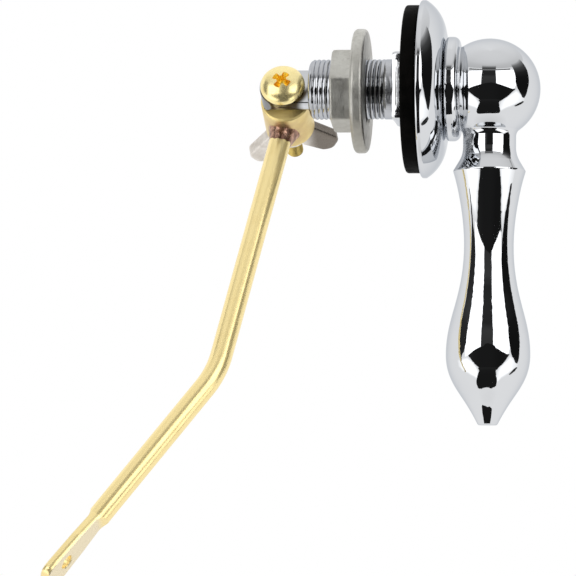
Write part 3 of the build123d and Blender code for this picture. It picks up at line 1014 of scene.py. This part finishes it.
# White surroundings, greyer overhead and underfoot. Where cards overlap, the nearer one is seen
card("ceiling", studio_reach + 0.2, fade=0.3, columns=60, strips=[
    (40, -160, 170, 0.62), (48, -160, 170, 0.70), (54, -165, 172, 0.80),
    (62, -170, 175, 0.85), (75, -175, 180, 0.88), (89, -180, 180, 0.90)])
card("floor_glow", studio_reach + 0.1, columns=60, strips=[
    (-61, -180, 180, 1.0), (-70, -180, 180, 0.92), (-80, -180, 180, 0.85), (-89.5, -180, 180, 0.8)])

# The soft boxes, the gap between them where the camera stands, and the frames along their upper edges
card("camera_gap", studio_reach + 0.1, [
    (-4, -25, 12.5, 0.03), (8, -24, 12.5, 0.04), (20, -24, 12.5, 0.05), (26, -24, 12.5, 0.025),
    (37, -24, 12.5, 0.03), (42, -25, 13, 0.12), (47, -27, 15, 0.6)])
card("left_box", studio_reach, upright=True, strips=[
    (-68, -7, 28, 1.9), (-50, -3, 33, 2.0), (-25, 3, 35, 2.0), (-23, 4, 35, 1.8)])
card("right_box", studio_reach, upright=True, strips=[
    (11, 6, 36, 1.8), (25, 2, 37, 2.0), (45, -4, 37, 2.0), (54, -2, 35, 2.0), (60, 9, 34, 1.9)])
card("box_frames", studio_reach - 0.02, columns=60, strips=[(35.2, -60, 52, 0.12), (38.2, -60, 52, 0.3)])

# The dark room below the boxes, the table's front and its bright top on either side
card("horizon", studio_reach - 0.1, upright=True, strips=[
    (-57, -7, -5, 0.03), (-50, -13, -3, 0.02), (-40, -22, 0, 0.015), (-25, -33, 3.5, 0.013),
    (-12, -36, 6, 0.013), (0, -38, 7.5, 0.013), (12, -37, 5.5, 0.012), (25, -33, 2, 0.01),
    (40, -21, -2, 0.01), (50, -10, -4, 0.015), (57, -4, -3, 0.03)])
card("table_front", studio_reach - 0.15, [
    (-30, -33, 25, 0.02), (-36, -30, 22, 0.014), (-45, -40, 26, 0.012), (-55, -54, 36, 0.012),
    (-59.5, -55, 37, 0.012), (-61.5, -48, 31, 0.012), (-63, -36, 21, 0.012), (-64, -20, 8, 0.02)])
card("left_table", studio_reach, upright=True, fade=0.25, strips=[
    (-95, -21, -8, 1.1), (-80, -31, -8, 1.5), (-62, -41, -6, 1.7), (-48, -49, -13, 1.6),
    (-40, -58, -20, 1.5), (-33, -61, -32, 1.2)])
card("right_table", studio_reach, upright=True, fade=0.25, strips=[
    (27, -61, -30, 1.2), (38, -57, -20, 1.5), (48, -48, -12, 1.6), (60, -41, -3, 1.6),
    (72, -31, -8, 1.4), (90, -21, -10, 1.1)])

# The dark openings beyond the boxes on either side, and a dark fixture by the right one
card("right_gap", studio_reach - 0.05, [
    (46, 62, 108, 0.6), (42, 61, 108, 0.23), (36, 61, 107, 0.07), (28, 60, 105, 0.02), (20, 59, 101, 0.01),
    (10, 57, 97, 0.008), (0, 61, 92, 0.008), (-8, 69, 90, 0.01), (-15, 80, 87, 0.04)])
card("right_fixture", studio_reach - 0.06, [
    (-20, 86, 91, 0.08), (-25, 79, 87, 0.03), (-30, 73, 81, 0.03), (-35, 68, 73, 0.08)])
card("left_gap", studio_reach - 0.05, [
    (40, -67, -97, 0.5), (34, -67, -97, 0.08), (20, -67, -96, 0.03), (7, -66, -94, 0.025),
    (0, -71, -91, 0.025), (-5, -78, -86, 0.03), (-14, -81, -84, 0.05)])

floor_mesh = bpy.data.meshes.new("floor")
floor_signs = ((-1, -1), (1, -1), (1, 1), (-1, 1))
floor_corners = [(x * floor_half, y * floor_half, floor_level) for x, y in floor_signs]
floor_mesh.from_pydata(floor_corners, [], [(0, 1, 2, 3)])
floor = bpy.data.objects.new("floor", floor_mesh)
bpy.context.scene.collection.objects.link(floor)
paper, shader, wire = finish("pale_floor", 0.0, floor_shine)
shader.inputs["Base Color"].default_value = (*floor_colour, 1.0)
feed(shader, "Roughness", between(wire, grain(wire, 30.0), 0.3, 0.7, *floor_roughness))
floor_mesh.materials.append(paper)
floor.visible_glossy = False

# The world is white where it is seen, and lights the object at a lower level
world = bpy.data.worlds.new("studio")
bpy.context.scene.world = world
world.use_nodes = True
world.node_tree.nodes.clear()
wire = Wire(world.node_tree)
camera_ray = wire.node("ShaderNodeLightPath", output="Is Camera Ray")
glossy_ray = wire.node("ShaderNodeLightPath", output="Is Glossy Ray")
clear_ray = wire.node("ShaderNodeLightPath", output="Is Transmission Ray")
seen = wire.maths("MINIMUM", camera_ray + glossy_ray + clear_ray, 1.0)
backdrop = wire.node("ShaderNodeBackground", {},
                     {"Color": (1.0, 1.0, 1.0, 1.0), "Strength": daylight + seen * (1.0 - daylight)})
wire.node("ShaderNodeOutputWorld", {}, {"Surface": backdrop}, None)

for name, azimuth in (("left_lamp", -lamp_azimuth), ("right_lamp", lamp_azimuth)):
    lamp = bpy.data.lights.new(name, "AREA")
    lamp.shape = "SQUARE"
    lamp.size = lamp_size
    lamp.energy = lamp_power
    made = bpy.data.objects.new(name, lamp)
    made.location = studio_point(azimuth, lamp_elevation, lamp_distance)
    made.rotation_euler = (lamp_aim - made.location).to_track_quat("-Z", "Y").to_euler()
    made.visible_glossy = False
    made.visible_camera = False
    bpy.context.scene.collection.objects.link(made)

bpy.context.scene.view_settings.view_transform = "Standard"
